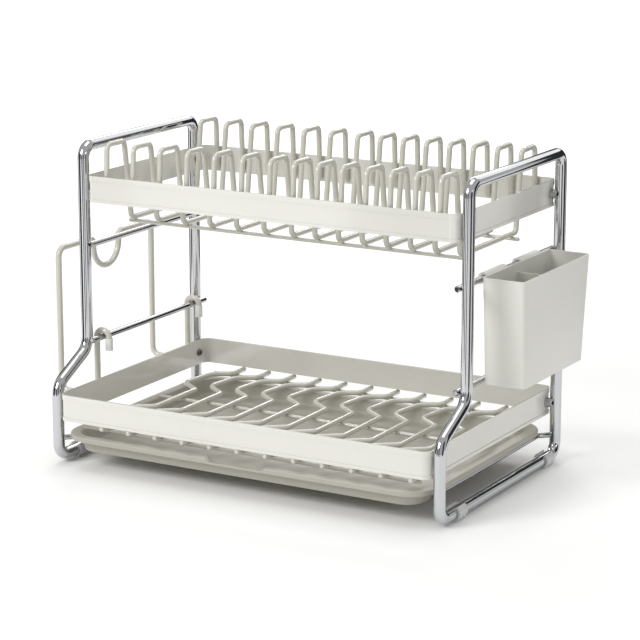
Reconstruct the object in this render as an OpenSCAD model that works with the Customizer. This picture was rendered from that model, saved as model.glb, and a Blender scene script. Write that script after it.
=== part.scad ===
// Two-tier dish drying rack: two bent tube side frames, two banded wire trays,
// a sliding drip tray, a hang-on utensil box and a hang-on board holder.
// Millimetres, +Z up, origin at the centre of the footprint, on the worktop.

/* [Overall size] */
// Distance between the two side frames, tube centre to tube centre
rack_width = 410; // [340:1:495]
// Distance from the front lower leg to the back leg, centre to centre
rack_depth = 246; // [205:1:300]
// Height of the top bar above the bottom rail, centre to centre
rack_height = 294; // [245:1:355]

/* [Side frames] */
// Outside diameter of the bent frame tube
tube_d = 11.2; // [9:0.1:13.5]
// Centre-line bend radius at the four corners
corner_r = 12; // [8:0.5:16]
// Centre-line bend radius of the two dogleg bends
dogleg_r = 18; // [10:1:22]
// How far the front upper leg stands back from the front lower leg
setback = 51; // [42:1:61]
// Height of the lower dogleg bend above the bottom rail
dogleg_low = 70; // [60:1:80]
// Height of the upper dogleg bend above the bottom rail
dogleg_high = 97; // [88:1:110]

/* [Frame rods] */
// Diameter of the rods that carry the hang-on parts
rod_d = 6; // [5:0.1:7.2]
// Upper rod below the top bar
upper_rod_drop = 94; // [85:1:105]
// Lower rod above the upper dogleg bend
lower_rod_rise = 8.3; // [5:0.1:14]
// Rod end past the leg's centre line
rod_overhang = 5; // [3:0.5:9]
// Diameter of the runner rods under the drip tray's rim
runner_d = 5; // [4:0.1:6]
// Height of the runner rods above the bottom rail
runner_z = 18; // [16:0.5:20]
// Runner rod inward from the frame tube's centre line
runner_inset = 12.5; // [11:0.5:16]
// Corner of the runner's bent ends, along the rack from each leg
runner_lead = 13; // [11:0.5:18]

/* [Feet] */
// Length of a foot sleeve along the bottom rail
foot_length = 16; // [10:1:20]
// Wall of a foot sleeve
foot_wall = 2; // [1.5:0.1:3]
// Gap at the top of the split sleeve, in degrees
foot_gap_angle = 70; // [40:5:110]
// Front feet behind the front legs
foot_front_y = 34; // [26:1:45]
// Rear feet ahead of the back legs
foot_rear_y = 24; // [22:1:40]

/* [Tray bands] */
// Height of the steel strip around each tray
band_h = 25.5; // [21:0.5:31]
// Thickness of the steel strip
band_t = 1.5; // [1:0.1:2.4]
// How far the folded hems stand out from the strip
hem_out = 0.6; // [0.4:0.1:1.4]
// Height of the upper hem
hem_top_h = 5; // [3:0.5:6]
// Height of the lower hem
hem_bottom_h = 3; // [2:0.5:5]
// Outside corner radius of the strip
band_corner_r = 9; // [7:0.5:12]
// Gap between the hem and the frame tube
band_gap = 0.8; // [0.5:0.1:2]
// Upper band's top edge below the top bar's centre
upper_band_drop = 26.5; // [20:0.5:32]
// Lower band's bottom edge above the bottom rail's centre
lower_band_z = 38.5; // [38:0.5:44]
// Upper band's front face ahead of the front upper leg's centre
upper_band_lead = 6.5; // [6:0.5:9]
// Lower band's front face ahead of the front lower leg's centre
lower_band_lead = 8; // [6:0.5:9]
// Back faces of both bands behind the back leg's centre
band_tail = 6.5; // [6:0.5:9]

/* [Band bolts] */
// Bolt shank diameter
bolt_d = 4; // [3:0.5:5]
// Bolt head diameter
bolt_head_d = 8; // [7:0.5:9]
// Bolt head height
bolt_head_h = 2.4; // [2:0.1:3]
// Diameter of the welded boss between band and tube
boss_d = 9; // [8:0.5:10]
// Bolts along the rack from the leg's centre line
bolt_from_leg = 7.5; // [7:0.5:8.5]

/* [Plate wires] */
// Diameter of the plate wires
plate_wire_d = 5.2; // [4.4:0.1:6]
// Wide slots on the left
wide_slots = 6; // [4:1:7]
// Pitch of the wide slots
wide_pitch = 30; // [25:1:36]
// Pitch of the narrow slots on the right
narrow_pitch = 25; // [21:1:30]
// Least distance from the last wire to the band's end
wire_margin = 14; // [12:1:20]
// Wire loops above the band's top edge, to the wire's centre
loop_rise = 30; // [25:1:36]
// Basket floor wires below the band's bottom edge, to the wire's centre
basket_drop = 21; // [17:1:25]
// Length of the flat top of a wire loop, between its corners
loop_top = 29; // [24:1:34]
// How far a loop's outer leg leans in at the top
outer_lean = 2.5; // [0:0.5:4]
// How far a loop's inner leg leans out at the bottom
inner_lean = 10; // [6:0.5:13]
// Centre-line bend radius of the wires
wire_bend_r = 6; // [5:0.5:8]
// Diameter of the thin support rods under both wire floors
support_d = 3.6; // [3:0.1:4.4]
// Upper support rods inward from the loops' lower corners
support_from_corner = 8; // [7:0.5:12]
// Upper support rods past the last wires
support_overhang = 7; // [4:0.5:10]

/* [Wave wires] */
// Diameter of the wave wires
wave_wire_d = 5.2; // [4.4:0.1:6]
// Pitch of the wave wires
wave_pitch = 30; // [25:1:36]
// Sideways bulge of a wave
wave_bulge = 24; // [20:1:28]
// Half the straight length between the two bulges
wave_straight = 36; // [30:1:43]
// Length of one bulge along the wire
wave_length = 71; // [66:1:78]
// Wave wires to the right of the tray's middle
wave_shift = 15; // [12:0.5:16]
// Front and rear lower support rods in from the band's faces
lower_support_inset = 13; // [10:1:17]
// Lower support rods past the last wires
lower_support_overhang = 4; // [3:0.5:8]

/* [Drip tray] */
// Height of the drip tray from its underside to its rim
tray_h = 16.5; // [14:0.5:17.5]
// Wall of the drip tray
tray_wall = 1.8; // [1.4:0.1:2.4]
// Height of the turned-down rim
rim_h = 5.2; // [4:0.1:6]
// Rim ahead of the front lower leg's centre
tray_lead = 12; // [10:1:15]
// Back of the rim behind the back leg's centre
tray_tail = 2; // [0:1:5]
// Corner radius of the rim
tray_corner_r = 30; // [22:1:36]
// Gap between the rim and the legs
tray_leg_gap = 2.5; // [1.5:0.5:4]
// Slope of the walls, bottom inward from top
tray_taper = 6; // [3:0.5:10]
// Width of the finger notch in the front rim
notch_w = 60; // [50:1:72]
// Depth of the finger notch
notch_drop = 3.4; // [2:0.1:3.6]

/* [Utensil box] */
// Gap from the front upper leg back to the box
box_front_gap = 26.9; // [20:0.1:34]
// Gap from the box back to the back leg
box_rear_gap = 11.9; // [6:0.1:18]
// Width of the box's rim
box_width = 43; // [36:1:52]
// Height from the bottom of the box to its rim
box_height = 100; // [83:1:120]
// Wall of the box
box_wall = 2; // [1.6:0.1:2.6]
// Each end of the box leans in at the bottom
box_taper_y = 8; // [5:0.5:12]
// The outer wall of the box leans in at the bottom
box_taper_x = 2; // [1:0.5:4]
// Rim of the box above the upper rod's centre
box_rim_rise = 4; // [2:0.5:5]
// Inner wall of the box out from the upper rod's surface
box_standoff = 2.5; // [2:0.1:4]
// Corner radius of the box
box_corner_r = 5; // [4:0.5:8]
// Gap from each end of the rim to its hanging tab
tab_end_gap = 15.5; // [10:0.5:20]
// Distance between the two tabs
tab_spacing = 30; // [22:1:34]
// Thickness of the tabs
tab_t = 2.2; // [1.8:0.1:2.8]
// How far the tabs reach down behind the rod's centre
tab_reach = 6; // [4:0.5:9]
// Divider below the rim
divider_drop = 8; // [5:1:20]
// Height of the drain feet under the box
drain_foot_h = 2; // [1.5:0.1:3]

/* [Board holder] */
// Diameter of the holder's wire
holder_wire_d = 6; // [5:0.1:7.2]
// Distance from the hanging legs out to the outer loop, centre to centre
holder_reach = 43.5; // [36:0.5:52]
// Front leg of the holder behind the front upper leg
holder_front_gap = 14; // [12:1:20]
// Rear leg of the holder ahead of the back leg
holder_rear_gap = 18; // [15:1:26]
// Bottom of the holder below the lower rod
holder_drop = 60; // [50:1:66]
// Top bar of the outer loop above the lower rod
holder_rise = 82; // [68:1:98]
// Depth of the dip in the top bar
dip_depth = 31; // [29:1:37]
// Centre-line radius of the dip
dip_r = 22; // [18:1:24]
// Centre-line radius of the dip's shoulders
dip_shoulder_r = 6; // [5:0.5:8]
// Centre-line radius of the holder's corners
holder_bend_r = 9; // [8:0.5:12]
// Hook ends down from the lower rod's centre
hook_reach = 11; // [8:1:14]
// Diameter of the plastic end caps
cap_d = 7.4; // [7.2:0.1:7.6]
// Length of the plastic end caps
cap_length = 12; // [8:1:14]

/* [Hidden] */
hang_gap = 0.3;      // hang-on parts above the rods they hang on
slide_gap = 0.3;     // drip tray above the runner rods
rod_chamfer = 0.4;   // share of a rod's radius
eps = 0.01;
through = 1;
hairpin = 0.2;       // straight part between two bends that make a half circle
wire_sides = 8;      // flats round a tray wire
holder_sides = 12;   // flats round the board holder's wire and the runners
frame_sides = 16;    // flats round a side frame's tube
wire_steps = 3;      // flats along one bend of a tray wire
bar_steps = 5;       // flats along one bend of a thicker bar
$fn = 64;

tube_r = tube_d / 2;
rod_r = rod_d / 2;
runner_r = runner_d / 2;
frame_x = rack_width / 2;
rod_x = frame_x - tube_r - rod_r;
upper_rod_z = rack_height - upper_rod_drop;
lower_rod_z = dogleg_high + lower_rod_rise;
runner_x = frame_x - runner_inset;

// Both bands: half width and faces of the strip, hems excluded
band_x = frame_x - tube_r - band_gap - hem_out;
band_back = rack_depth + band_tail;
upper_band_front = setback - upper_band_lead;
lower_band_front = -lower_band_lead;
upper_band_z = rack_height - upper_band_drop - band_h;

// Plate wires: wide slots on the left, narrow slots on the right, centred
plate_wire_r = plate_wire_d / 2;
plate_span = 2 * (band_x - band_t - wire_margin) - plate_wire_d;
narrow_slots = max(1, floor((plate_span - wide_slots * wide_pitch) / narrow_pitch));
plate_wires = wide_slots + narrow_slots + 1;
plate_width = wide_slots * wide_pitch + narrow_slots * narrow_pitch;
function plate_wire_x(i) = -plate_width / 2 + min(i, wide_slots) * wide_pitch
    + max(i - wide_slots, 0) * narrow_pitch;
loop_z = upper_band_z + band_h + loop_rise;
basket_z = upper_band_z - basket_drop;
upper_mid_y = (upper_band_front + band_back) / 2;
plate_leg_y = upper_band_front + band_t + plate_wire_r;
support_r = support_d / 2;
upper_support_z = basket_z - plate_wire_r - support_r;
loop_foot_y = plate_leg_y + outer_lean + loop_top + inner_lean;

// Wave wires: shifted right, because all their bulges are to the left
wave_wire_r = wave_wire_d / 2;
wave_span = 2 * (band_x - band_t - wire_margin) - wave_wire_d - wave_bulge;
wave_wires = floor(wave_span / wave_pitch) + 1;
function wave_wire_x(i) = wave_pitch * (i - (wave_wires - 1) / 2) + wave_shift;
wave_z = lower_band_z - wave_wire_r;
lower_mid_y = (lower_band_front + band_back) / 2;
wave_rise = 0.25;        // shares of a bulge's length to its near and from its far corner
wave_fall = 0.12;
wave_far_bulge = 0.78;   // share of the bulge reached at the far corner
wave_inner_r = 5;        // bend radii, from the straight middle outward
wave_near_r = 14;
wave_reach = norm([wave_bulge * wave_far_bulge, wave_length * wave_fall]);
wave_far_r = wave_reach;
wave_neck_r = wave_reach * 0.45;
middle_support_back = 12;
lower_support_z = wave_z - wave_wire_r - support_r;

// Drip tray
tray_x = frame_x - tube_r - tray_leg_gap;
tray_front = -tray_lead;
tray_back = rack_depth + tray_tail;
rim_bottom = runner_z + runner_r + slide_gap;
rim_top = rim_bottom + rim_h;
tray_bottom = rim_top - tray_h;
tray_body_x = runner_x - runner_r - slide_gap - tray_wall;
tray_end_flange = 7;
rib_t = 1.8;
foot_pad_share = 1.1;    // pad's width against the sleeve's radius
rib_clear = 6;           // ribs end short of the runners' bends
tray_foot_corner = 12;   // body corners smaller than the rim's, at the bottom
tray_lip_corner = 8;     // and at the rim
tray_end_taper = 0.6;    // slope of the end walls against the side walls
least_corner = 4;

// Utensil box, hung on the right upper rod
box_x = rod_x + rod_r + box_standoff;
box_front = setback + tube_r + box_front_gap;
box_back = rack_depth - tube_r - box_rear_gap;
box_length = box_back - box_front;
box_mid_y = (box_front + box_back) / 2;
tab_length = (box_length - tab_spacing) / 2 - tab_end_gap;
box_rim_z = upper_rod_z + box_rim_rise;
box_bottom = box_rim_z - box_height;
drain_foot_l = 9;

// Board holder, hung on the left lower rod
holder_r = holder_wire_d / 2;
hook_r = rod_r + holder_r + 1;
hook_z = lower_rod_z + rod_r + hang_gap - (hook_r - holder_r);
hook_top = hook_z + hook_r;
hook_span = 2 * hook_r + hairpin;
holder_in = -(rod_x + hook_r + hairpin / 2);
holder_out = holder_in - holder_reach;
holder_front = setback + holder_front_gap;
holder_rear = rack_depth - holder_rear_gap;
holder_low = lower_rod_z - holder_drop;
holder_top = lower_rod_z + holder_rise;
dip_mid = (holder_front + holder_rear) / 2;

// Origin: centre of the whole footprint, on the underside of the feet
foot_r = tube_r + foot_wall;
x_right = box_x + box_width;
x_left = holder_out - holder_r;
y_front = min(tray_front, lower_band_front - hem_out);
y_back = max(band_back + hem_out, rack_depth + rod_overhang, tray_back);
shift = [-(x_right + x_left) / 2, -(y_front + y_back) / 2, foot_r];

chrome = [0.8, 0.81, 0.83];
cream = [0.86, 0.85, 0.8];
greige = [0.66, 0.64, 0.58];
shell_white = [0.9, 0.89, 0.86];
clear_grey = [0.72, 0.73, 0.74, 0.8];
dark_steel = [0.32, 0.32, 0.33];

// ---- Helpers ----

module placed() { translate(shift) children(); }

function unit(v) = v / norm(v);
function turn(p, q, r) = let (c = unit(q - p) * unit(r - q)) acos(max(-1, min(1, c)));

function across(d) = unit(cross(d, abs(d[2]) < 0.9 ? [0, 0, 1] : [1, 0, 0]));

// Centre and direction of each cross section round the bend at q, from p to t
function bend_rings(p, q, t, bend_r, steps) =
    let (u = unit(q - p), a = turn(p, q, t), inward = cross(unit(cross(u, unit(t - q))), u),
         centre = q - u * bend_r * tan(a / 2) + inward * bend_r)
    [for (k = [0:steps]) let (w = a * k / steps)
        [centre + bend_r * (u * sin(w) - inward * cos(w)), u * cos(w) + inward * sin(w)]];

// Cross sections of a bar along a polyline; a radius of 0 marks a free end
function bar_rings(pts, radii, steps) = let (n = len(pts)) [for (i = [0:n - 1])
    each (radii[i] > 0
        ? bend_rings(pts[(i + n - 1) % n], pts[i], pts[(i + 1) % n], radii[i], steps)
        : [[pts[i], unit(i == 0 ? pts[1] - pts[0] : pts[i] - pts[i - 1])]])];

function square_to(s, t) = unit(s - (s * t) * t);

// Round bar bent along a polyline, with one bend radius for each point
module bent_bar(pts, radii, r, sides, steps, closed = false) {
    rings = bar_rings(pts, radii, steps);
    n = len(rings);
    first = across(rings[0][1]);
    lateral = [for (i = 0, s = first; i < n;
                    i = i + 1, s = square_to(s, rings[min(i, n - 1)][1])) s];
    flat_r = r / cos(180 / sides);
    points = [for (i = [0:n - 1], k = [0:sides - 1])
        let (t = rings[i][1], s = lateral[i], a = (k + 0.5) * 360 / sides)
        rings[i][0] + (s * cos(a) + cross(t, s) * sin(a)) * flat_r];
    skin = [for (i = [0:(closed ? n - 1 : n - 2)], k = [0:sides - 1])
        let (j = (i + 1) % n, m = (k + 1) % sides)
        [i * sides + k, j * sides + k, j * sides + m, i * sides + m]];
    caps = closed ? [] : [[for (k = [0:sides - 1]) k],
                          [for (k = [sides - 1:-1:0]) (n - 1) * sides + k]];
    polyhedron(points, concat(skin, caps), convexity = 10);
}

// Section that a bent bar of radius r fills, for holes and seats that fit it
module bar_section(r, sides) {
    rotate(180 / sides) circle(r / cos(180 / sides), $fn = sides);
}

// Rod along Y with chamfered ends
module y_rod(x, z, y0, y1, r) {
    c = r * rod_chamfer;
    translate([x, y0, z]) rotate([-90, 0, 0]) {
        cylinder(h = c, r1 = r - c, r2 = r);
        translate([0, 0, c]) cylinder(h = y1 - y0 - 2 * c, r = r);
        translate([0, 0, y1 - y0 - c]) cylinder(h = c, r1 = r, r2 = r - c);
    }
}

module x_rod(y, z, x0, x1, r) {
    translate([x0, y, z]) rotate([0, 90, 0]) cylinder(h = x1 - x0, r = r);
}

// Rectangle with round corners, from exact circles and squares
module round_rect(x0, x1, y0, y1, r) {
    translate([x0 + r, y0]) square([x1 - x0 - 2 * r, y1 - y0]);
    translate([x0, y0 + r]) square([x1 - x0, y1 - y0 - 2 * r]);
    for (x = [x0 + r, x1 - r], y = [y0 + r, y1 - r]) translate([x, y]) circle(r);
}

// Closed strip, grow outside the rectangle and t thick inward from its faces
module strip_ring(x, y0, y1, r, grow, t, z, h) {
    translate([0, 0, z]) linear_extrude(h) difference() {
        round_rect(-x - grow, x + grow, y0 - grow, y1 + grow, r + grow);
        round_rect(-x + t, x - t, y0 + t, y1 - t, r - t);
    }
}

// ---- Side frames and rods ----

module side_frame(side) {
    x = side * frame_x;
    pts = [[x, 0, 0], [x, 0, dogleg_low], [x, setback, dogleg_high],
           [x, setback, rack_height], [x, rack_depth, rack_height], [x, rack_depth, 0]];
    radii = [corner_r, dogleg_r, dogleg_r, corner_r, corner_r, corner_r];
    color(chrome) placed() bent_bar(pts, radii, tube_r, frame_sides, bar_steps, true);
}

module frame_rod(side, z) {
    color(chrome) placed()
        y_rod(side * rod_x, z, setback - rod_overhang, rack_depth + rod_overhang, rod_r);
}

// Runner rod: bent ends welded against the inside of the front and back legs
module runner(side) {
    xi = side * runner_x;
    xo = side * frame_x;
    pts = [[xo, 0, runner_z], [xi, runner_lead, runner_z],
           [xi, rack_depth - runner_lead, runner_z], [xo, rack_depth, runner_z]];
    color(chrome) placed() difference() {
        bent_bar(pts, [0, runner_d, runner_d, 0], runner_r, holder_sides, wire_steps);
        for (y = [0, rack_depth])
            translate([xo, y, runner_z - 2 * runner_d])
                linear_extrude(4 * runner_d) bar_section(tube_r, frame_sides);
    }
}

// Split sleeve around the bottom rail, open upward, standing on a flat pad
module foot(side, y) {
    pad_w = foot_r * foot_pad_share;
    half_gap = foot_gap_angle / 2;
    wedge = 3 * foot_r;
    color(clear_grey) placed() translate([side * frame_x, y - foot_length / 2, 0])
        rotate([-90, 0, 0]) mirror([0, 1, 0]) linear_extrude(foot_length) difference() {
            union() {
                circle(foot_r);
                translate([-pad_w / 2, -foot_r]) square([pad_w, foot_wall]);
            }
            bar_section(tube_r, frame_sides);
            polygon([[0, 0], [-wedge * sin(half_gap), wedge * cos(half_gap)],
                     [wedge * sin(half_gap), wedge * cos(half_gap)]]);
        }
}

// ---- Bands, bosses and bolts ----

function bolt_ys(upper) = [(upper ? setback : 0) + bolt_from_leg, rack_depth - bolt_from_leg];
function bolt_z(upper) = (upper ? upper_band_z : lower_band_z) + band_h / 2;

module each_bolt() {
    for (side = [-1, 1], upper = [false, true], y = bolt_ys(upper))
        translate([side * (band_x - band_t), y, bolt_z(upper)])
            rotate([0, side * 90, 0]) children();
}

module band(front, z) {
    difference() {
        union() {
            strip_ring(band_x, front, band_back, band_corner_r, 0, band_t, z, band_h);
            strip_ring(band_x, front, band_back, band_corner_r, hem_out, band_t, z, hem_bottom_h);
            strip_ring(band_x, front, band_back, band_corner_r, hem_out, band_t,
                       z + band_h - hem_top_h, hem_top_h);
        }
        each_bolt() translate([0, 0, -through])
            cylinder(h = band_t + 2 * through, d = bolt_d);
    }
}

module upper_band() { color(cream) placed() band(upper_band_front, upper_band_z); }
module lower_band() { color(cream) placed() band(lower_band_front, lower_band_z); }

boss_h = hem_out + band_gap + tube_r;
bolt_taper = 0.7;    // head's top and drive against its base and the shank
drive_depth = 0.6;   // drive's depth in the head

module band_bosses() {
    color(chrome) placed() difference() {
        each_bolt() translate([0, 0, band_t]) cylinder(h = boss_h, d = boss_d);
        each_bolt() cylinder(h = band_t + boss_h + through, d = bolt_d);
        for (side = [-1, 1], upper = [false, true], y = [upper ? setback : 0, rack_depth])
            translate([side * frame_x, y, bolt_z(upper) - boss_d])
                linear_extrude(2 * boss_d) bar_section(tube_r, frame_sides);
    }
}

module band_bolts() {
    drive_d = bolt_d * bolt_taper;
    color(dark_steel) placed() each_bolt() difference() {
        union() {
            translate([0, 0, -bolt_head_h])
                cylinder(h = bolt_head_h, d1 = bolt_head_d * bolt_taper, d2 = bolt_head_d);
            cylinder(h = band_t + hem_out + band_gap + 1, d = bolt_d);
        }
        translate([0, 0, -bolt_head_h]) cylinder(h = bolt_head_h * drive_depth, d = drive_d, $fn = 6);
    }
}

// ---- Upper tray wires ----

// One plate wire: front loop, basket floor and rear loop, in a plane of constant x
module plate_wire(i) {
    x = plate_wire_x(i - 1);
    leg_end = upper_band_z + hem_bottom_h;
    half = [[x, plate_leg_y, leg_end],
            [x, plate_leg_y + outer_lean, loop_z],
            [x, plate_leg_y + outer_lean + loop_top, loop_z],
            [x, loop_foot_y, basket_z]];
    other = [for (k = [3:-1:0]) [x, 2 * upper_mid_y - half[k][1], half[k][2]]];
    color(cream) placed()
        bent_bar(concat(half, other), concat(0, [for (k = [1:6]) wire_bend_r], 0),
                 plate_wire_r, wire_sides, wire_steps);
}

module upper_support(y) {
    color(cream) placed() x_rod(y, upper_support_z, plate_wire_x(0) - support_overhang,
                                plate_wire_x(plate_wires - 1) + support_overhang, support_r);
}

// ---- Lower tray wires ----

// One wave wire, lying flat, with a bulge to the left near each end
module wave_wire(i) {
    x = wave_wire_x(i - 1);
    rise = wave_length * wave_rise;
    fall = wave_length * wave_fall;
    y0 = wave_straight;
    half = [[x, lower_mid_y + y0, wave_z],
            [x - wave_bulge, lower_mid_y + y0 + rise, wave_z],
            [x - wave_bulge * wave_far_bulge, lower_mid_y + y0 + wave_length - fall, wave_z],
            [x, lower_mid_y + y0 + wave_length, wave_z],
            [x, band_back + hem_out, wave_z]];
    other = [for (k = [4:-1:0]) [half[k][0], 2 * lower_mid_y - half[k][1], wave_z]];
    ends = [0, wave_neck_r, wave_far_r, wave_near_r, wave_inner_r];
    color(cream) placed()
        bent_bar(concat(other, half), concat(ends, [for (k = [4:-1:0]) ends[k]]),
                 wave_wire_r, wire_sides, wire_steps);
}

module lower_support(y) {
    color(cream) placed()
        x_rod(y, lower_support_z, wave_wire_x(0) - wave_bulge - lower_support_overhang,
              wave_wire_x(wave_wires - 1) + lower_support_overhang, support_r);
}

// ---- Drip tray ----

module tray_slab(inset_x, inset_y, z, h, r) {
    translate([0, 0, z]) linear_extrude(h)
        round_rect(-tray_body_x + inset_x, tray_body_x - inset_x,
                   tray_front + tray_end_flange + inset_y, tray_back - tray_end_flange - inset_y,
                   max(r, least_corner), $fn = 32);
}

module tray_hollow(inset, z0, z1) {
    hull() {
        tray_slab(inset + tray_taper, inset + tray_taper * tray_end_taper, z0, eps,
                  tray_corner_r - tray_foot_corner);
        tray_slab(inset, inset, z1 - eps, eps, tray_corner_r - tray_lip_corner);
    }
}

module drip_tray() {
    notch_z = rim_top - notch_drop;
    floor_z = tray_bottom + tray_wall;
    color(greige) placed() difference() {
        union() {
            tray_hollow(0, tray_bottom, rim_top);
            difference() {
                translate([0, 0, rim_bottom]) linear_extrude(rim_h)
                    round_rect(-tray_x, tray_x, tray_front, tray_back, tray_corner_r);
                translate([0, 0, rim_bottom - through])
                    linear_extrude(rim_h - tray_wall + through)
                    round_rect(-tray_x + tray_wall, tray_x - tray_wall, tray_front + tray_wall,
                               tray_back - tray_wall, tray_corner_r - tray_wall);
            }
            for (s = [-1, 1])
                translate([s * runner_x - rib_t / 2, runner_lead + rib_clear, rim_bottom])
                    cube([rib_t, rack_depth - 2 * (runner_lead + rib_clear), rim_h - tray_wall / 2]);
            translate([-notch_w / 2 - tray_wall, tray_front, rim_bottom])
                cube([notch_w + 2 * tray_wall, tray_end_flange + tray_wall, rim_h]);
        }
        tray_hollow(tray_wall, floor_z, rim_top + through);
        translate([-notch_w / 2, tray_front - through, notch_z])
            cube([notch_w, tray_end_flange + 3 * tray_wall + through, notch_drop + through]);
    }
}

// ---- Utensil box ----

module box_slab(inset, taper, z, r) {
    tx = taper ? box_taper_x : 0;
    ty = taper ? box_taper_y : 0;
    translate([0, 0, z]) linear_extrude(eps)
        round_rect(box_x + inset, box_x + box_width - tx - inset,
                   box_mid_y - box_length / 2 + ty + inset, box_mid_y + box_length / 2 - ty - inset,
                   r, $fn = 32);
}

module box_body(inset, z0, z1) {
    hull() {
        box_slab(inset, true, z0, box_corner_r - inset);
        box_slab(inset, false, z1 - eps, box_corner_r - inset);
    }
}

// Tab over the rod: half ring with a short leg behind the rod
module box_tab() {
    inner = rod_r + hang_gap;
    outer = inner + tab_t;
    rotate([90, 0, 0]) linear_extrude(tab_length, center = true) {
        difference() {
            circle(outer);
            circle(inner);
            translate([-outer - through, -outer - through])
                square([2 * outer + 2 * through, outer + through]);
        }
        translate([-outer, -tab_reach]) square([tab_t, tab_reach]);
        translate([inner, -tab_reach]) square([box_standoff + rod_r - inner + box_wall, tab_reach]);
    }
}

module utensil_box() {
    tab_y = (tab_length + tab_spacing) / 2;
    foot_w = box_width - box_taper_x - 2 * box_corner_r;
    color(shell_white) placed() {
        difference() {
            box_body(0, box_bottom, box_rim_z);
            box_body(box_wall, box_bottom + box_wall, box_rim_z + through);
        }
        intersection() {
            translate([box_x + box_wall / 2, box_mid_y - box_wall / 2, box_bottom + box_wall / 2])
                cube([box_width, box_wall, box_height - divider_drop - box_wall / 2]);
            box_body(box_wall / 2, box_bottom, box_rim_z);
        }
        for (s = [-1, 1]) {
            translate([rod_x, box_mid_y + s * tab_y, upper_rod_z]) box_tab();
            translate([box_x + box_corner_r, box_mid_y
                       + s * (box_length / 2 - box_taper_y - box_corner_r) - (s > 0 ? drain_foot_l : 0),
                       box_bottom - drain_foot_h])
                cube([foot_w, drain_foot_l, drain_foot_h + box_wall / 2]);
        }
    }
}

// ---- Board holder ----

module board_holder() {
    hook_in = holder_in + hook_span;
    function upright(y, flip) = let (p = [
        [hook_in, y, lower_rod_z - hook_reach], [hook_in, y, hook_top], [holder_in, y, hook_top],
        [holder_in, y, holder_low], [holder_out, y, holder_low], [holder_out, y, holder_top]])
        flip ? [for (k = [5:-1:0]) p[k]] : p;
    dip_z = holder_top - dip_depth;
    dip_x = dip_r + hairpin / 2;
    dip = [for (q = [[-dip_x, holder_top], [-dip_x, dip_z], [dip_x, dip_z], [dip_x, holder_top]])
           [holder_out, dip_mid + q[0], q[1]]];
    ends = [0, hook_r, hook_r, holder_bend_r, holder_bend_r, holder_bend_r];
    radii = concat(ends, [dip_shoulder_r, dip_r, dip_r, dip_shoulder_r],
                   [for (k = [5:-1:0]) ends[k]]);
    color(cream) placed()
        bent_bar(concat(upright(holder_front, false), dip, upright(holder_rear, true)),
                 radii, holder_r, holder_sides, bar_steps - 1);
}

module hook_caps() {
    end_z = lower_rod_z - hook_reach;
    tip = 2;
    color(shell_white) placed() for (y = [holder_front, holder_rear])
        translate([holder_in + hook_span, y, end_z - tip]) difference() {
            cylinder(h = cap_length, d = cap_d);
            translate([0, 0, tip]) linear_extrude(cap_length) bar_section(holder_r, holder_sides);
        }
}

// ---- What is drawn ----

side_frame(-1);  // side_frame_left
side_frame(1);  // side_frame_right
frame_rod(-1, upper_rod_z);  // rod_left_upper
frame_rod(-1, lower_rod_z);  // rod_left_lower
frame_rod(1, upper_rod_z);  // rod_right_upper
frame_rod(1, lower_rod_z);  // rod_right_lower
runner(-1);  // runner_left
runner(1);  // runner_right
foot(-1, foot_front_y);  // foot_front_left
foot(1, foot_front_y);  // foot_front_right
foot(-1, rack_depth - foot_rear_y);  // foot_rear_left
foot(1, rack_depth - foot_rear_y);  // foot_rear_right
upper_band();
lower_band();
band_bosses();
band_bolts();
for (i = [1:plate_wires])
    plate_wire(i);
upper_support(loop_foot_y + support_from_corner);  // upper_support_front
upper_support(2 * upper_mid_y - loop_foot_y - support_from_corner);  // upper_support_rear
for (i = [1:wave_wires])
    wave_wire(i);
lower_support(lower_band_front + lower_support_inset);  // lower_support_front
lower_support(lower_mid_y + middle_support_back);  // lower_support_middle
lower_support(band_back - lower_support_inset);  // lower_support_rear
drip_tray();
utensil_box();
board_holder();
hook_caps();
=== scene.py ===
"""Two-tier dish drying rack: finishes, smooth bent bars, lights and camera."""

import logging
import math
from dataclasses import dataclass
from enum import Enum

import bpy
import numpy as np
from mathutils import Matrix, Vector


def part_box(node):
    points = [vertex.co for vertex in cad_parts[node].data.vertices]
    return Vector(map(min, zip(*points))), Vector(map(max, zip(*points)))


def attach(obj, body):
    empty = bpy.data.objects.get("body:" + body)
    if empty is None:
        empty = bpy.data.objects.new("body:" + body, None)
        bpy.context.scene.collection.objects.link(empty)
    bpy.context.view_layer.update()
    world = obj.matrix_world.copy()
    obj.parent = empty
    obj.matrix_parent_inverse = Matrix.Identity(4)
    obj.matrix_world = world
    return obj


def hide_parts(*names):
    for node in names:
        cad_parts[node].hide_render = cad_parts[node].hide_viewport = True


LOG = logging.getLogger("dish_rack")

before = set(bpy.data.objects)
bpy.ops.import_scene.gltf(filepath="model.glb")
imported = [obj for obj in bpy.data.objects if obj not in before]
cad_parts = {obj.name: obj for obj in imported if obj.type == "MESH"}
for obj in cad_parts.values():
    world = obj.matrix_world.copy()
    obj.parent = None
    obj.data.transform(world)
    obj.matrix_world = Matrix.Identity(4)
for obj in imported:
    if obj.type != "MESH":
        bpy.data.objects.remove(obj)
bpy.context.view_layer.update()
MM = 0.001
EVEN = (1.0, 1.0, 1.0)
# Points closer together than this are one point
SAME_POINT = 1e-7
# Share of a direction along X past which X no longer serves as a direction across it
NEARLY_ALONG = 0.9
# Share of an open bar's radius that rounds the edges of its ends
END_ROUND = 0.35


class Body(Enum):
    """Bodies that the new pieces ride on."""

    RACK = "rack"
    TRAY = "tray"
    HOLDER = "holder"


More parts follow.
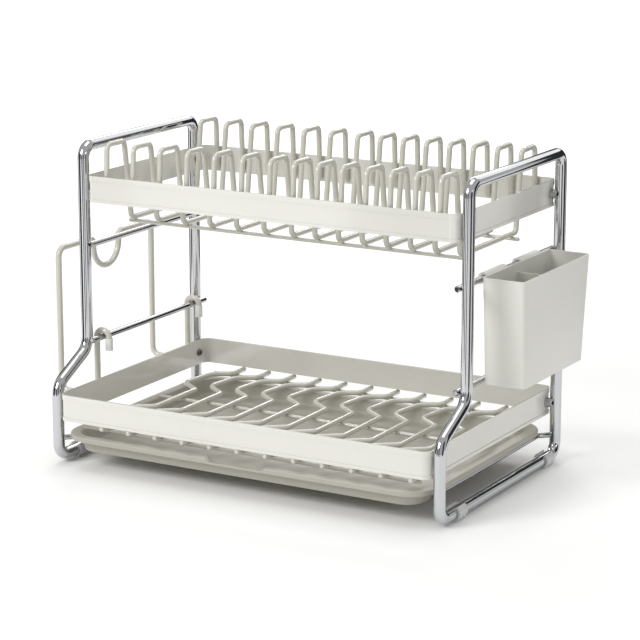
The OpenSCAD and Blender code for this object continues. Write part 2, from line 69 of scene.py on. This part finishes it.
def object_noise(tree: bpy.types.NodeTree, scale: float, detail: float,
                 stretch: tuple[float, float, float]) -> bpy.types.NodeSocket:
    """Add noise read in Object coordinates to a material.

    Args:
        tree: Node tree of the material.
        scale: Waves of the noise in a metre.
        detail: Finer octaves added to it.
        stretch: Scale along each axis.

    Returns:
        The output that gives the noise's value.
    """
    coords = tree.nodes.new("ShaderNodeTexCoord")
    mapping = tree.nodes.new("ShaderNodeMapping")
    mapping.inputs["Scale"].default_value = stretch
    texture = tree.nodes.new("ShaderNodeTexNoise")
    texture.inputs["Scale"].default_value = scale
    texture.inputs["Detail"].default_value = detail
    tree.links.new(coords.outputs["Object"], mapping.inputs["Vector"])
    tree.links.new(mapping.outputs["Vector"], texture.inputs["Vector"])
    return texture.outputs["Fac"]


@dataclass(frozen=True)
class Finish:
    """A procedural finish read in Object coordinates.

    A broad noise mottles its colour, a finer one varies its gloss, and a fine
    grain tilts its surface.
    """

    name: str
    color: tuple[float, float, float]
    roughness: float
    metallic: float = 0.0
    coat: float = 0.0
    coat_roughness: float = 0.08
    transmission: float = 0.0
    soften: float = 0.0
    soften_depth: float = 2 * MM
    tone_depth: float = 0.04
    tone_scale: float = 9.0
    tone_detail: float = 3.0
    tone_range: tuple[float, float] = (0.3, 0.7)
    wear: float = 0.05
    wear_scale: float = 60.0
    wear_detail: float = 4.0
    least_roughness: float = 0.02
    grain: float = 0.02
    grain_scale: float = 900.0
    grain_detail: float = 2.0
    grain_depth: float = 0.1 * MM
    grain_stretch: tuple[float, float, float] = EVEN

    def material(self) -> bpy.types.Material:
        """Build the node material.

        Returns:
            A material with a mottled tone, uneven gloss and a fine grain.
        """
        mat = bpy.data.materials.new(self.name)
        mat.use_nodes = True
        shader = mat.node_tree.nodes["Principled BSDF"]
        plain = {
            "Metallic": self.metallic,
            "Coat Weight": self.coat,
            "Coat Roughness": self.coat_roughness,
            "Transmission Weight": self.transmission,
            "Subsurface Weight": self.soften,
            "Subsurface Scale": self.soften_depth,
        }
        for socket, value in plain.items():
            shader.inputs[socket].default_value = value
        self.mottle(mat.node_tree, shader)
        self.vary_gloss(mat.node_tree, shader)
        self.add_grain(mat.node_tree, shader)
        return mat

    def mottle(self, tree: bpy.types.NodeTree, shader: bpy.types.Node) -> None:
        """Vary the colour between its own tone and a slightly darker one.

        Args:
            tree: Node tree of the material.
            shader: Shader that takes the colour.
        """
        tone = object_noise(tree, self.tone_scale, self.tone_detail, EVEN)
        ramp = tree.nodes.new("ShaderNodeValToRGB")
        darker = tuple(channel * (1 - self.tone_depth) for channel in self.color)
        for index, color in enumerate((darker, self.color)):
            ramp.color_ramp.elements[index].position = self.tone_range[index]
            ramp.color_ramp.elements[index].color = (*color, 1.0)
        tree.links.new(tone, ramp.inputs["Fac"])
        tree.links.new(ramp.outputs["Color"], shader.inputs["Base Color"])

    def vary_gloss(self, tree: bpy.types.NodeTree, shader: bpy.types.Node) -> None:
        """Spread the roughness to both sides of its own value.

        Args:
            tree: Node tree of the material.
            shader: Shader that takes the roughness.
        """
        gloss = object_noise(tree, self.wear_scale, self.wear_detail, self.grain_stretch)
        spread = tree.nodes.new("ShaderNodeMapRange")
        smoothest = max(self.roughness - self.wear, self.least_roughness)
        spread.inputs["To Min"].default_value = smoothest
        spread.inputs["To Max"].default_value = self.roughness + self.wear
        tree.links.new(gloss, spread.inputs["Value"])
        tree.links.new(spread.outputs["Result"], shader.inputs["Roughness"])

    def add_grain(self, tree: bpy.types.NodeTree, shader: bpy.types.Node) -> None:
        """Tilt the surface by a fine grain.

        Args:
            tree: Node tree of the material.
            shader: Shader that takes the tilted normal.
        """
        grain = object_noise(tree, self.grain_scale, self.grain_detail, self.grain_stretch)
        bump = tree.nodes.new("ShaderNodeBump")
        bump.inputs["Strength"].default_value = self.grain
        bump.inputs["Distance"].default_value = self.grain_depth
        tree.links.new(grain, bump.inputs["Height"])
        tree.links.new(bump.outputs["Normal"], shader.inputs["Normal"])


FRAME_CHROME = Finish("frame_chrome_finish", (0.6, 0.61, 0.63), 0.07, metallic=1.0, wear=0.03,
                      tone_depth=0.02, grain=0.01)
ROD_CHROME = Finish("rod_chrome_finish", (0.46, 0.46, 0.47), 0.12, metallic=1.0, wear=0.05,
                    tone_depth=0.04, grain=0.03, grain_stretch=(1.0, 0.05, 1.0))
BAND_CREAM = Finish("band_cream_finish", (0.72, 0.71, 0.66), 0.15, coat=0.8, grain=0.02,
                    grain_scale=420.0)
# Painted shade: the wires' cream is a darker copy of the bands' cream paint, standing in for the
# shade that falls inside the trays
WIRE_CREAM_PAINTED_SHADE = Finish("wire_cream_painted_shade_finish", (0.6, 0.59, 0.52), 0.16, coat=0.9, grain=0.03,
                    grain_scale=520.0)
BOLT_DARK = Finish("bolt_dark_finish", (0.2, 0.2, 0.21), 0.36, metallic=1.0, wear=0.1,
                   tone_depth=0.3, tone_scale=160.0)
TRAY_GREIGE = Finish("tray_greige_finish", (0.415, 0.4, 0.345), 0.42, coat=0.08,
                     coat_roughness=0.3, grain=0.18, grain_scale=1300.0)
BOX_WHITE = Finish("box_white_finish", (0.74, 0.735, 0.69), 0.34, coat=0.2, coat_roughness=0.2,
                   soften=0.15, grain=0.1, grain_scale=1100.0)
FOOT_CLEAR = Finish("foot_clear_finish", (0.8, 0.81, 0.82), 0.26, transmission=0.3,
                    soften=0.3, grain=0.05)
CAP_WHITE = Finish("cap_white_finish", (0.82, 0.82, 0.79), 0.4, soften=0.2, grain=0.1)


def fillet(points: np.ndarray, radii: np.ndarray, step: float) -> np.ndarray:
    """Round a polyline's corners with arcs that touch both of its lines.

    The arc's centre lies a radius in from both lines, and its points turn from
    one line to the other in equal angles. Each corner is taken between the two
    beside it, and the last is beside the first, so an open line's ends have a
    radius of 0.

    Args:
        points: Corners, one row each, in metres.
        radii: Arc radius at each corner; 0 keeps the point.
        step: Largest turn between two points of an arc, in radians.

    Returns:
        The points of the rounded line.
    """
    before, after = np.roll(points, 1, axis=0), np.roll(points, -1, axis=0)
    parts = []
    for corner, back, ahead, radius in zip(points, before, after, radii):
        if radius <= 0:
            parts.append(corner[None, :])
            continue
        along = (corner - back) / np.linalg.norm(corner - back)
        leaving = (ahead - corner) / np.linalg.norm(ahead - corner)
        angle = math.acos(float(np.clip(along @ leaving, -1.0, 1.0)))
        inward = leaving - along * math.cos(angle)
        inward /= np.linalg.norm(inward)
        centre = corner - along * radius * math.tan(angle / 2) + inward * radius
        turn = np.linspace(0.0, angle, max(2, math.ceil(angle / step) + 1))[:, None]
        parts.append(centre + radius * (along * np.sin(turn) - inward * np.cos(turn)))
    path = np.concatenate(parts)
    gap = np.linalg.norm(np.diff(path, axis=0), axis=1)
    return path[np.concatenate([[True], gap > SAME_POINT])]


def sections(path: np.ndarray, closed: bool) -> tuple[np.ndarray, np.ndarray]:
    """Two directions square to a path at each of its points.

    The first one is carried along the path from point to point, each time with
    its share along the new direction taken out, so it never twists.

    Args:
        path: Points of the path.
        closed: Whether the path is a loop.

    Returns:
        The two directions, one row for each point.
    """
    if closed:
        tangent = np.roll(path, -1, axis=0) - np.roll(path, 1, axis=0)
    else:
        tangent = np.gradient(path, axis=0)
    tangent /= np.linalg.norm(tangent, axis=1, keepdims=True)
    across = (1.0, 0.0, 0.0) if abs(tangent[0, 0]) < NEARLY_ALONG else (0.0, 0.0, 1.0)
    start = np.cross(tangent[0], across)
    side = start / np.linalg.norm(start)
    sides = []
    for direction in tangent:
        side = side - (side @ direction) * direction
        side = side / np.linalg.norm(side)
        sides.append(side)
    sides = np.array(sides)
    return sides, np.cross(tangent, sides)


def grid_faces(rows: int, columns: int, closed: bool) -> np.ndarray:
    """Quads between the neighbouring rings of a tube.

    They face outward where each ring turns right-handed about the way that
    leads from the first ring to the last.

    Args:
        rows: Number of rings.
        columns: Points on each ring.
        closed: Whether the last ring joins the first.

    Returns:
        Four vertex numbers for each face.
    """
    ring, column = np.meshgrid(np.arange(rows if closed else rows - 1), np.arange(columns),
                               indexing="ij")
    ahead, beside = (ring + 1) % rows, (column + 1) % columns
    quads = np.stack([ring * columns + column, ring * columns + beside,
                      ahead * columns + beside, ahead * columns + column], axis=-1)
    return quads.reshape(-1, 4)


def rounded_rectangles(x0: np.ndarray, x1: np.ndarray, y0: np.ndarray, y1: np.ndarray,
                       corner: np.ndarray, z: np.ndarray,
                       divisions: tuple[int, int, int]) -> np.ndarray:
    """Rounded rectangles with matching points, one for each row of the sizes.

    Each starts on its front edge and turns left; the four corners are quarter
    circles and the straight edges are evenly divided.

    Args:
        x0: Left sides.
        x1: Right sides.
        y0: Front sides.
        y1: Back sides.
        corner: Corner radii.
        z: Heights.
        divisions: Points along a front or back edge, a side edge and a corner,
            the edges' shared ends counted.

    Returns:
        Points, by row and place on the outline.
    """
    x0, x1, y0, y1, corner = (value[:, None] for value in (x0, x1, y0, y1, corner))
    edge_count, side_count, corner_count = divisions
    quarter = np.linspace(0.0, math.pi / 2, corner_count)[None, :]
    along = np.linspace(0.0, 1.0, edge_count)[None, 1:-1]
    across = np.linspace(0.0, 1.0, side_count)[None, 1:-1]
    left, right, front, back = x0 + corner, x1 - corner, y0 + corner, y1 - corner
    xs = [left + (right - left) * along, right + corner * np.sin(quarter),
          x1 + 0 * across, right + corner * np.cos(quarter),
          right - (right - left) * along, left - corner * np.sin(quarter),
          x0 + 0 * across, left - corner * np.cos(quarter)]
    ys = [y0 + 0 * along, front - corner * np.cos(quarter),
          front + (back - front) * across, back + corner * np.sin(quarter),
          y1 + 0 * along, back + corner * np.cos(quarter),
          back - (back - front) * across, front - corner * np.sin(quarter)]
    outline_x, outline_y = np.concatenate(xs, axis=1), np.concatenate(ys, axis=1)
    outline_z = np.broadcast_to(z[:, None], outline_x.shape)
    return np.stack([outline_x, outline_y, outline_z], axis=-1)


def mesh_object(name: str, points: np.ndarray, faces: list[list[int]],
                material: bpy.types.Material) -> bpy.types.Object:
    """Make a smooth-shaded object whose place is in its mesh.

    Args:
        name: Name of the object and its mesh.
        points: Vertices, one row each, in metres.
        faces: Vertex numbers of each face.
        material: Finish of the whole mesh.

    Returns:
        The new object.
    """
    mesh = bpy.data.meshes.new(name)
    mesh.from_pydata(points.tolist(), [], faces)
    mesh.polygons.foreach_set("use_smooth", np.ones(len(mesh.polygons), dtype=bool))
    mesh.materials.append(material)
    mesh.update()
    obj = bpy.data.objects.new(name, mesh)
    bpy.context.scene.collection.objects.link(obj)
    return obj


def bar(name: str, path: np.ndarray, radius: float, closed: bool, sides: int,
        material: bpy.types.Material) -> bpy.types.Object:
    """Round bar along a path.

    Each ring is the path's point plus radius times (cos a, sin a) in the two
    directions square to the path; an open bar's ends close over a small round.

    Args:
        name: Piece name.
        path: Points of the centre line.
        radius: Bar radius.
        closed: Whether the bar is a loop.
        sides: Points around the bar.
        material: Finish of the bar.

    Returns:
        The new object.
    """
    side, up = sections(path, closed)
    size = np.full(len(path), radius)
    if not closed:
        round_off = radius * END_ROUND
        first = (path[1] - path[0]) / np.linalg.norm(path[1] - path[0])
        last = (path[-1] - path[-2]) / np.linalg.norm(path[-1] - path[-2])
        path = np.concatenate([path[:1], path[:1] + first * round_off, path[1:-1],
                               path[-1:] - last * round_off, path[-1:]])
        side = np.concatenate([side[:1], side, side[-1:]])
        up = np.concatenate([up[:1], up, up[-1:]])
        size = np.concatenate([[radius - round_off], np.full(len(path) - 2, radius),
                               [radius - round_off]])
    angle = np.arange(sides) * 2 * math.pi / sides
    turn_side, turn_up = np.cos(angle)[None, :, None], np.sin(angle)[None, :, None]
    ring = side[:, None] * turn_side + up[:, None] * turn_up
    points = (path[:, None] + ring * size[:, None, None]).reshape(-1, 3)
    faces = grid_faces(len(path), sides, closed).tolist()
    if not closed:
        faces.append(list(range(sides))[::-1])
        faces.append(list(range(len(points) - sides, len(points))))
    return mesh_object(name, points, faces, material)


@dataclass
class BentBars:
    """Shared values of the bars that smooth sweeps stand for."""

    sides: int = 20
    arc_step: float = math.radians(9)

    def sweep(self, node: str, corners: list[tuple[float, float, float]], radii: list[float],
              radius: float, closed: bool, material: bpy.types.Material,
              body: Body = Body.RACK) -> bpy.types.Object:
        """Build a bar that stands for a CAD node and rides on its body.

        Args:
            node: CAD node that the bar replaces.
            corners: Corners of the centre line, in metres.
            radii: Bend radius at each corner, 0 at an open bar's ends.
            radius: Bar radius.
            closed: Whether the bar is a loop.
            material: Finish of the bar.
            body: Body that the bar rides on.

        Returns:
            The new object.
        """
        path = fillet(np.array(corners, dtype=float), np.array(radii), self.arc_step)
        piece = bar(f"{node}_bar", path, radius, closed, self.sides, material)
        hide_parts(node)
        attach(piece, body.value)
        LOG.info("%s: %d rings", node, len(path))
        return piece


def dress(node: str, material: bpy.types.Material) -> None:
    """Give a CAD node that stays visible its finish.

    Args:
        node: CAD node.
        material: Finish of the whole node.
    """
    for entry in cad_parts[node].material_slots:
        entry.material = material
    LOG.info("%s: dressed as %s", node, material.name)


@dataclass
class SideFrames(BentBars):
    """Two bent tube loops, each with two foot sleeves and two straight rods."""

    tube_radius: float = 5.6 * MM
    corner: float = 12 * MM
    dogleg: float = 18 * MM
    setback: float = 51 * MM
    dogleg_low: float = 70 * MM
    dogleg_high: float = 97 * MM

    def build(self) -> None:
        """Sweep both loops from their CAD boxes and dress rods, bosses and feet."""
        chrome, rod_chrome = FRAME_CHROME.material(), ROD_CHROME.material()
        for node in ("side_frame_left", "side_frame_right"):
            low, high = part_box(node)
            x = (low[0] + high[0]) / 2
            front, back = low[1] + self.tube_radius, high[1] - self.tube_radius
            base, top = low[2] + self.tube_radius, high[2] - self.tube_radius
            corners = [(x, front, base), (x, front, base + self.dogleg_low),
                       (x, front + self.setback, base + self.dogleg_high),
                       (x, front + self.setback, top), (x, back, top), (x, back, base)]
            radii = [self.corner, self.dogleg, self.dogleg] + [self.corner] * 3
            self.sweep(node, corners, radii, self.tube_radius, closed=True, material=chrome)
        for side in ("left", "right"):
            for level in ("upper", "lower"):
                dress(f"rod_{side}_{level}", rod_chrome)
        dress("band_bosses", rod_chrome)
        feet = FOOT_CLEAR.material()
        for end in ("front", "rear"):
            for side in ("left", "right"):
                dress(f"foot_{end}_{side}", feet)


@dataclass
class Runners(BentBars):
    """Two runner rods under the drip tray's rim, bent out to the legs."""

    radius: float = 2.5 * MM
    bend: float = 5 * MM
    lead: float = 13 * MM
    leg_radius: float = SideFrames.tube_radius

    def build(self) -> None:
        """Sweep each runner between the front and back legs."""
        chrome = ROD_CHROME.material()
        for node, out in (("runner_left", -1), ("runner_right", 1)):
            low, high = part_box(node)
            frame_low, frame_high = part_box(node.replace("runner", "side_frame"))
            leg_x = (frame_low[0] + frame_high[0]) / 2
            front, back = frame_low[1] + self.leg_radius, frame_high[1] - self.leg_radius
            inner = high[0] - self.radius if out < 0 else low[0] + self.radius
            z = (low[2] + high[2]) / 2
            corners = [(leg_x, front, z), (inner, front + self.lead, z),
                       (inner, back - self.lead, z), (leg_x, back, z)]
            radii = [0.0, self.bend, self.bend, 0.0]
            self.sweep(node, corners, radii, self.radius, closed=False, material=chrome)


@dataclass
class TrayWires(BentBars):
    """Plate wires of the upper tray and wave wires of the lower one.

    A wave's bulge has its full width at the share rise of its length from its
    start, and the share far_bulge of that width at the share fall from its end.
    The bend at the second of these is as large as the stretch after it is long,
    and the last bend is the share neck_share of that.
    """

    sides: int = 14
    radius: float = 2.6 * MM
    foot_height: float = 3 * MM
    bend: float = 6 * MM
    outer_lean: float = 2.5 * MM
    loop_top: float = 29 * MM
    inner_lean: float = 10 * MM
    bulge: float = 24 * MM
    far_bulge: float = 0.78
    straight_half: float = 36 * MM
    bulge_length: float = 71 * MM
    rise: float = 0.25
    fall: float = 0.12
    inner_bend: float = 5 * MM
    near_bend: float = 14 * MM
    neck_share: float = 0.45

    def plate_wire(self, node: str, foot: float, material: bpy.types.Material) -> None:
        """Sweep one plate wire, a loop in front and one behind joined by a dip.

        Args:
            node: CAD node of the wire.
            foot: Height of the wire's ends.
            material: Finish of the wire.
        """
        low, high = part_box(node)
        x, r = (low[0] + high[0]) / 2, self.radius
        middle = (low[1] + high[1]) / 2
        top, floor = high[2] - r, low[2] + r
        leg = low[1] + r
        loop_foot = leg + self.outer_lean + self.loop_top + self.inner_lean
        half = [(x, leg, foot), (x, leg + self.outer_lean, top),
                (x, leg + self.outer_lean + self.loop_top, top), (x, loop_foot, floor)]
        other = [(x, 2 * middle - y, z) for _, y, z in reversed(half)]
        corners = half + other
        radii = [0.0] + [self.bend] * (len(corners) - 2) + [0.0]
        self.sweep(node, corners, radii, r, closed=False, material=material)

    def wave_wire(self, node: str, material: bpy.types.Material) -> None:
        """Sweep one wave wire, both of its bulges to the left.

        Args:
            node: CAD node of the wire.
            material: Finish of the wire.
        """
        low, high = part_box(node)
        x, z = high[0] - self.radius, (low[2] + high[2]) / 2
        middle, end = (low[1] + high[1]) / 2, high[1]
        start = middle + self.straight_half
        half = [(x, start, z), (x - self.bulge, start + self.bulge_length * self.rise, z),
                (x - self.bulge * self.far_bulge,
                 start + self.bulge_length * (1 - self.fall), z),
                (x, start + self.bulge_length, z), (x, end, z)]
        other = [(px, 2 * middle - py, pz) for px, py, pz in reversed(half)]
        reach = math.hypot(self.bulge * self.far_bulge, self.bulge_length * self.fall)
        bends = [self.inner_bend, self.near_bend, reach, reach * self.neck_share, 0.0]
        radii = bends[::-1] + bends
        self.sweep(node, other + half, radii, self.radius, closed=False, material=material)

    def build(self) -> None:
        """Sweep every wire and dress the bands, bolts and support rods."""
        # The wire finish is the darker cream with the trays' inner shade painted into it, also
        # given to the support rods; the bands keep the lit cream
        wire, band = WIRE_CREAM_PAINTED_SHADE.material(), BAND_CREAM.material()
        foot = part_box("upper_band")[0][2] + self.foot_height
        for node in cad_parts:
            if node.startswith("plate_wire_"):
                self.plate_wire(node, foot, wire)
            elif node.startswith("wave_wire_"):
                self.wave_wire(node, wire)
            elif "_support_" in node:
                dress(node, wire)
            elif node.endswith("_band"):
                dress(node, band)
        dress("band_bolts", BOLT_DARK.material())


@dataclass
class BoardHolder(BentBars):
    """One continuous wire that hangs on the left lower rod."""

    radius: float = 3 * MM
    hook: float = 7 * MM
    hairpin: float = 0.2 * MM
    corner: float = 9 * MM
    dip_depth: float = 31 * MM
    dip: float = 22 * MM
    shoulder: float = 6 * MM
    hook_reach: float = 11 * MM
    rod_above_bottom: float = 60 * MM
    hook_above_rod: float = 6.3 * MM

    def build(self) -> None:
        """Sweep the wire from hook to hook and dress its end caps."""
        low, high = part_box("board_holder")
        r = self.radius
        out, hook_in = low[0] + r, high[0] - r
        legs = hook_in - 2 * self.hook - self.hairpin
        front, rear = low[1] + r, high[1] - r
        bottom, top = low[2] + r, high[2] - r
        rod = bottom + self.rod_above_bottom
        hook_top = rod + self.hook_above_rod

        def upright(y: float) -> list[tuple[float, float, float]]:
            """Corners of one upright, from its hook to the outer loop.

            Args:
                y: Place of the upright along the rod.

            Returns:
                The corners in order.
            """
            return [(hook_in, y, rod - self.hook_reach), (hook_in, y, hook_top),
                    (legs, y, hook_top), (legs, y, bottom), (out, y, bottom), (out, y, top)]

        middle, reach = (front + rear) / 2, self.dip + self.hairpin / 2
        dip_z = top - self.dip_depth
        dip = [(out, middle - reach, top), (out, middle - reach, dip_z),
               (out, middle + reach, dip_z), (out, middle + reach, top)]
        bends = [0.0, self.hook, self.hook, self.corner, self.corner, self.corner]
        radii = bends + [self.shoulder, self.dip, self.dip, self.shoulder] + bends[::-1]
        corners = upright(front) + dip + upright(rear)[::-1]
        # The holder takes the same darker cream, with its painted shade
        self.sweep("board_holder", corners, radii, r, closed=False,
                   material=WIRE_CREAM_PAINTED_SHADE.material(), body=Body.HOLDER)
        dress("hook_caps", CAP_WHITE.material())


@dataclass
class HangOns:
    """Drip tray and utensil box."""

    wall: float = 1.8 * MM
    rim_height: float = 5.2 * MM
    rim_corner: float = 30 * MM
    side_flange: float = 9 * MM
    end_flange: float = 7 * MM
    taper: float = 6 * MM
    end_taper: float = 3.6 * MM
    lip_corner_loss: float = 8 * MM
    foot_corner_loss: float = 12 * MM
    floor_reach: float = 12 * MM
    notch_half: float = 30 * MM
    notch_drop: float = 3.4 * MM
    notch_ease: float = 5 * MM
    least_corner: float = 6 * MM
    heel_round: float = 2.5 * MM
    flange_round: float = 0.5 * MM
    lower_rim_round: float = 0.6 * MM
    outer_rim_round: float = 1.7 * MM
    inner_rim_round: float = 1.5 * MM
    floor_round: float = 4 * MM
    arc_step: float = math.radians(18)
    brace: float = 0.5 * MM
    brace_span: float = 2 * MM
    divisions: tuple[int, int, int] = (90, 16, 14)

    def profile(self, bottom: float, rim_top: float) -> np.ndarray:
        """Section of the tray from its underside, round the rim, to its floor.

        Every long stretch gets a point close to each of its ends, which keeps
        the shading of the flat stretch out of the bends.

        Args:
            bottom: Height of the underside.
            rim_top: Height of the rim's top.

        Returns:
            Rows of inset from the rim's outline, 0 and height.
        """
        foot, lip, wall = self.side_flange + self.taper, self.side_flange, self.wall
        rim_bottom = rim_top - self.rim_height
        floor = bottom + wall
        corners = [
            (foot + self.floor_reach, bottom, 0.0),
            (foot, bottom, self.heel_round),
            (lip, rim_top - wall, self.flange_round),
            (wall, rim_top - wall, self.flange_round),
            (wall, rim_bottom, self.lower_rim_round),
            (0.0, rim_bottom, self.lower_rim_round),
            (0.0, rim_top, self.outer_rim_round),
            (lip + wall, rim_top, self.inner_rim_round),
            (foot + wall, floor, self.floor_round),
            (foot + wall + self.floor_reach, floor, 0.0)]
        points = np.array([(inset, 0.0, height) for inset, height, _ in corners])
        line = fillet(points, np.array([radius for _, _, radius in corners]), self.arc_step)
        span = np.diff(line, axis=0)
        length = np.linalg.norm(span, axis=1, keepdims=True)
        long = length[:, 0] > self.brace_span
        step = span / length * self.brace
        braces = np.stack([(line[:-1] + step)[long], (line[1:] - step)[long]], axis=1)
        places = np.repeat(np.flatnonzero(long) + 1, 2)
        return np.insert(line, places, braces.reshape(-1, 3), axis=0)

    def outlines(self, low: tuple[float, float, float],
                 high: tuple[float, float, float]) -> np.ndarray:
        """Rounded rectangles of the tray, one for each point of its section.

        The inset grows less towards the front and back than towards the sides,
        and the corners shrink as it grows.

        Args:
            low: Lowest corner of the tray's box.
            high: Highest corner of the tray's box.

        Returns:
            Points, by place on the section and on the outline.
        """
        line = self.profile(low[2], high[2])
        inset = line[:, 0]
        stations = [0.0, self.side_flange, self.side_flange + self.taper]
        past_foot = np.maximum(inset - stations[-1], 0.0)
        end_insets = [0.0, self.end_flange, self.end_flange + self.end_taper]
        inset_y = np.interp(inset, stations, end_insets) + past_foot
        losses = [0.0, self.lip_corner_loss, self.foot_corner_loss]
        corner = self.rim_corner - np.interp(inset, stations, losses) - past_foot
        return rounded_rectangles(low[0] + inset, high[0] - inset, low[1] + inset_y,
                                  high[1] - inset_y, np.maximum(corner, self.least_corner),
                                  line[:, 2], self.divisions)

    def notch(self, points: np.ndarray, low: tuple[float, float, float],
              high: tuple[float, float, float]) -> np.ndarray:
        """Drop of each point in the notch of the front rim.

        It is the notch's depth times the point's share of the rim's height,
        times a smooth step of its distance from the notch's ends.

        Args:
            points: Points of the tray.
            low: Lowest corner of the tray's box.
            high: Highest corner of the tray's box.

        Returns:
            The drop of each point, 0 outside the notch.
        """
        middle = (low[0] + high[0]) / 2
        from_end = self.notch_half + self.notch_ease / 2 - np.abs(points[..., 0] - middle)
        ease = np.clip(from_end / self.notch_ease, 0.0, 1.0)
        in_front = points[..., 1] < low[1] + self.rim_corner / 2
        share = np.clip((points[..., 2] - high[2] + self.rim_height) / self.rim_height, 0.0, 1.0)
        return ease * ease * (3 - 2 * ease) * in_front * share * self.notch_drop

    def drip_tray(self) -> None:
        """Loft the tray through its outlines and drop the notch of its front rim."""
        low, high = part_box("drip_tray")
        points = self.outlines(low, high)
        points[..., 2] -= self.notch(points, low, high)
        rows, columns = points.shape[:2]
        faces = grid_faces(rows, columns, closed=False).tolist()
        faces.append(list(range(columns))[::-1])
        faces.append(list(range((rows - 1) * columns, rows * columns)))
        tray = mesh_object("drip_tray_shell", points.reshape(-1, 3), faces, TRAY_GREIGE.material())
        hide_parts("drip_tray")
        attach(tray, Body.TRAY.value)
        LOG.info("drip_tray: %d rings", rows)

    def build(self) -> None:
        """Build the drip tray and dress the utensil box."""
        self.drip_tray()
        dress("utensil_box", BOX_WHITE.material())


@dataclass(frozen=True)
class Lamp:
    """A soft square light that faces a point."""

    name: str
    place: tuple[float, float, float]
    size: float
    power: float
    toward: tuple[float, float, float] = (0.0, 0.0, 0.14)

    def build(self) -> None:
        """Add the light at its place and turn it towards its point."""
        light = bpy.data.lights.new(self.name, "AREA")
        light.size, light.energy = self.size, self.power
        lamp = bpy.data.objects.new(self.name, light)
        bpy.context.scene.collection.objects.link(lamp)
        lamp.location = self.place
        facing = Vector(self.toward) - Vector(self.place)
        lamp.rotation_euler = facing.to_track_quat("-Z", "Y").to_euler()


@dataclass
class Studio:
    """Pale floor, soft lights, dark cards and camera.

    The arcs of the dark cards are in degrees from +X towards +Y.
    """

    azimuth: float = math.radians(29.64)
    elevation: float = math.radians(13.51)
    distance: float = 2.35216
    aim: tuple[float, float, float] = (6.87 * MM, 19.16 * MM, 137.66 * MM)
    lens: float = 138.06
    sensor: float = 36.0
    lamps: tuple[Lamp, ...] = (
        Lamp("key", (-1.1, -2.5, 2.0), 1.3, 52.0),
        Lamp("top", (0.0, 0.2, 3.2), 2.0, 22.0),
        Lamp("fill", (2.9, -0.9, 1.1), 0.8, 5.0),
        Lamp("back", (0.4, 2.6, 2.0), 1.8, 8.0),
        Lamp("wash", (-1.9, 3.6, 2.4), 2.6, 110.0, toward=(-2.2, 4.0, 0.0)))
    floor_size: float = 40.0
    floor_tone: tuple[float, float, float, float] = (0.96, 0.96, 0.955, 1.0)
    floor_roughness: float = 0.7
    sky: float = 0.55
    sky_color: tuple[float, float, float, float] = (1.0, 0.995, 0.985, 1.0)
    card_radius: float = 0.75
    card_height: float = 0.5
    card_points: int = 12
    card_tone: tuple[float, float, float, float] = (0.02, 0.02, 0.022, 1.0)
    card_roughness: float = 1.0
    card_arcs: tuple[tuple[float, float], ...] = (
        (-32, -12), (8, 40), (52, 100), (135, 175), (200, 230), (250, 265), (282, 294))

    def build(self) -> None:
        """Make floor, lights, world, cards and camera, with plain colour handling."""
        self.floor()
        for lamp in self.lamps:
            lamp.build()
            LOG.info("%s light: %g W", lamp.name, lamp.power)
        bpy.context.scene.view_settings.view_transform = "Standard"
        self.world()
        self.cards()
        self.camera()

    def plain_material(self, name: str, tone: tuple[float, float, float, float],
                       roughness: float) -> bpy.types.Material:
        """Make a material of one tone for what isn't part of the rack.

        Args:
            name: Name of the material.
            tone: Colour with its alpha.
            roughness: Roughness of the surface.

        Returns:
            The new material.
        """
        mat = bpy.data.materials.new(name)
        mat.use_nodes = True
        shader = mat.node_tree.nodes["Principled BSDF"]
        shader.inputs["Base Color"].default_value = tone
        shader.inputs["Roughness"].default_value = roughness
        return mat

    def floor(self) -> None:
        """Lay a plain pale floor under the rack."""
        half = self.floor_size / 2
        mat = self.plain_material("floor_finish", self.floor_tone, self.floor_roughness)
        points = np.array([(-half, -half, 0), (half, -half, 0), (half, half, 0), (-half, half, 0)])
        mesh_object("floor", points, [[0, 1, 2, 3]], mat)

    def world(self) -> None:
        """Light the whole scene evenly from a pale sky."""
        world = bpy.data.worlds.new("studio")
        bpy.context.scene.world = world
        world.use_nodes = True
        back = world.node_tree.nodes["Background"]
        back.inputs["Color"].default_value = self.sky_color
        back.inputs["Strength"].default_value = self.sky

    def cards(self) -> None:
        """Stand dark cards round the rack that only glossy surfaces show.

        Each card is an upright arc about the rack's axis, from one angle to
        another, and the polished tubes take their dark lines from them.
        """
        dark = self.plain_material("flag_finish", self.card_tone, self.card_roughness)
        count = self.card_points
        first = np.arange(count - 1)
        faces = np.stack([first, first + 1, first + 1 + count, first + count], axis=1).tolist()
        for number, (start, end) in enumerate(self.card_arcs):
            angle = np.radians(np.linspace(start, end, count))
            base = np.stack([np.cos(angle), np.sin(angle), np.zeros(count)], axis=1)
            base *= self.card_radius
            points = np.concatenate([base, base + (0, 0, self.card_height)])
            card = mesh_object(f"flag_{number}", points, faces, dark)
            card.visible_camera = card.visible_diffuse = False
            card.visible_shadow = card.visible_transmission = False

    def camera(self) -> None:
        """Set the camera at its azimuth and elevation, aimed at the rack."""
        data = bpy.data.cameras.new("camera")
        data.lens, data.sensor_width = self.lens, self.sensor
        camera = bpy.data.objects.new("camera", data)
        bpy.context.scene.collection.objects.link(camera)
        direction = Vector((math.sin(self.azimuth) * math.cos(self.elevation),
                            -math.cos(self.azimuth) * math.cos(self.elevation),
                            math.sin(self.elevation)))
        camera.location = Vector(self.aim) + direction * self.distance
        camera.rotation_euler = (-direction).to_track_quat("-Z", "Y").to_euler()
        bpy.context.scene.camera = camera


def main() -> None:
    """Build every sub-assembly, then the studio."""
    logging.basicConfig(level=logging.INFO, format="%(name)s: %(message)s")
    for assembly in (SideFrames(), Runners(), TrayWires(), BoardHolder(), HangOns(), Studio()):
        assembly.build()
        LOG.info("%s built", type(assembly).__name__)


if __name__ == "__main__":
    main()
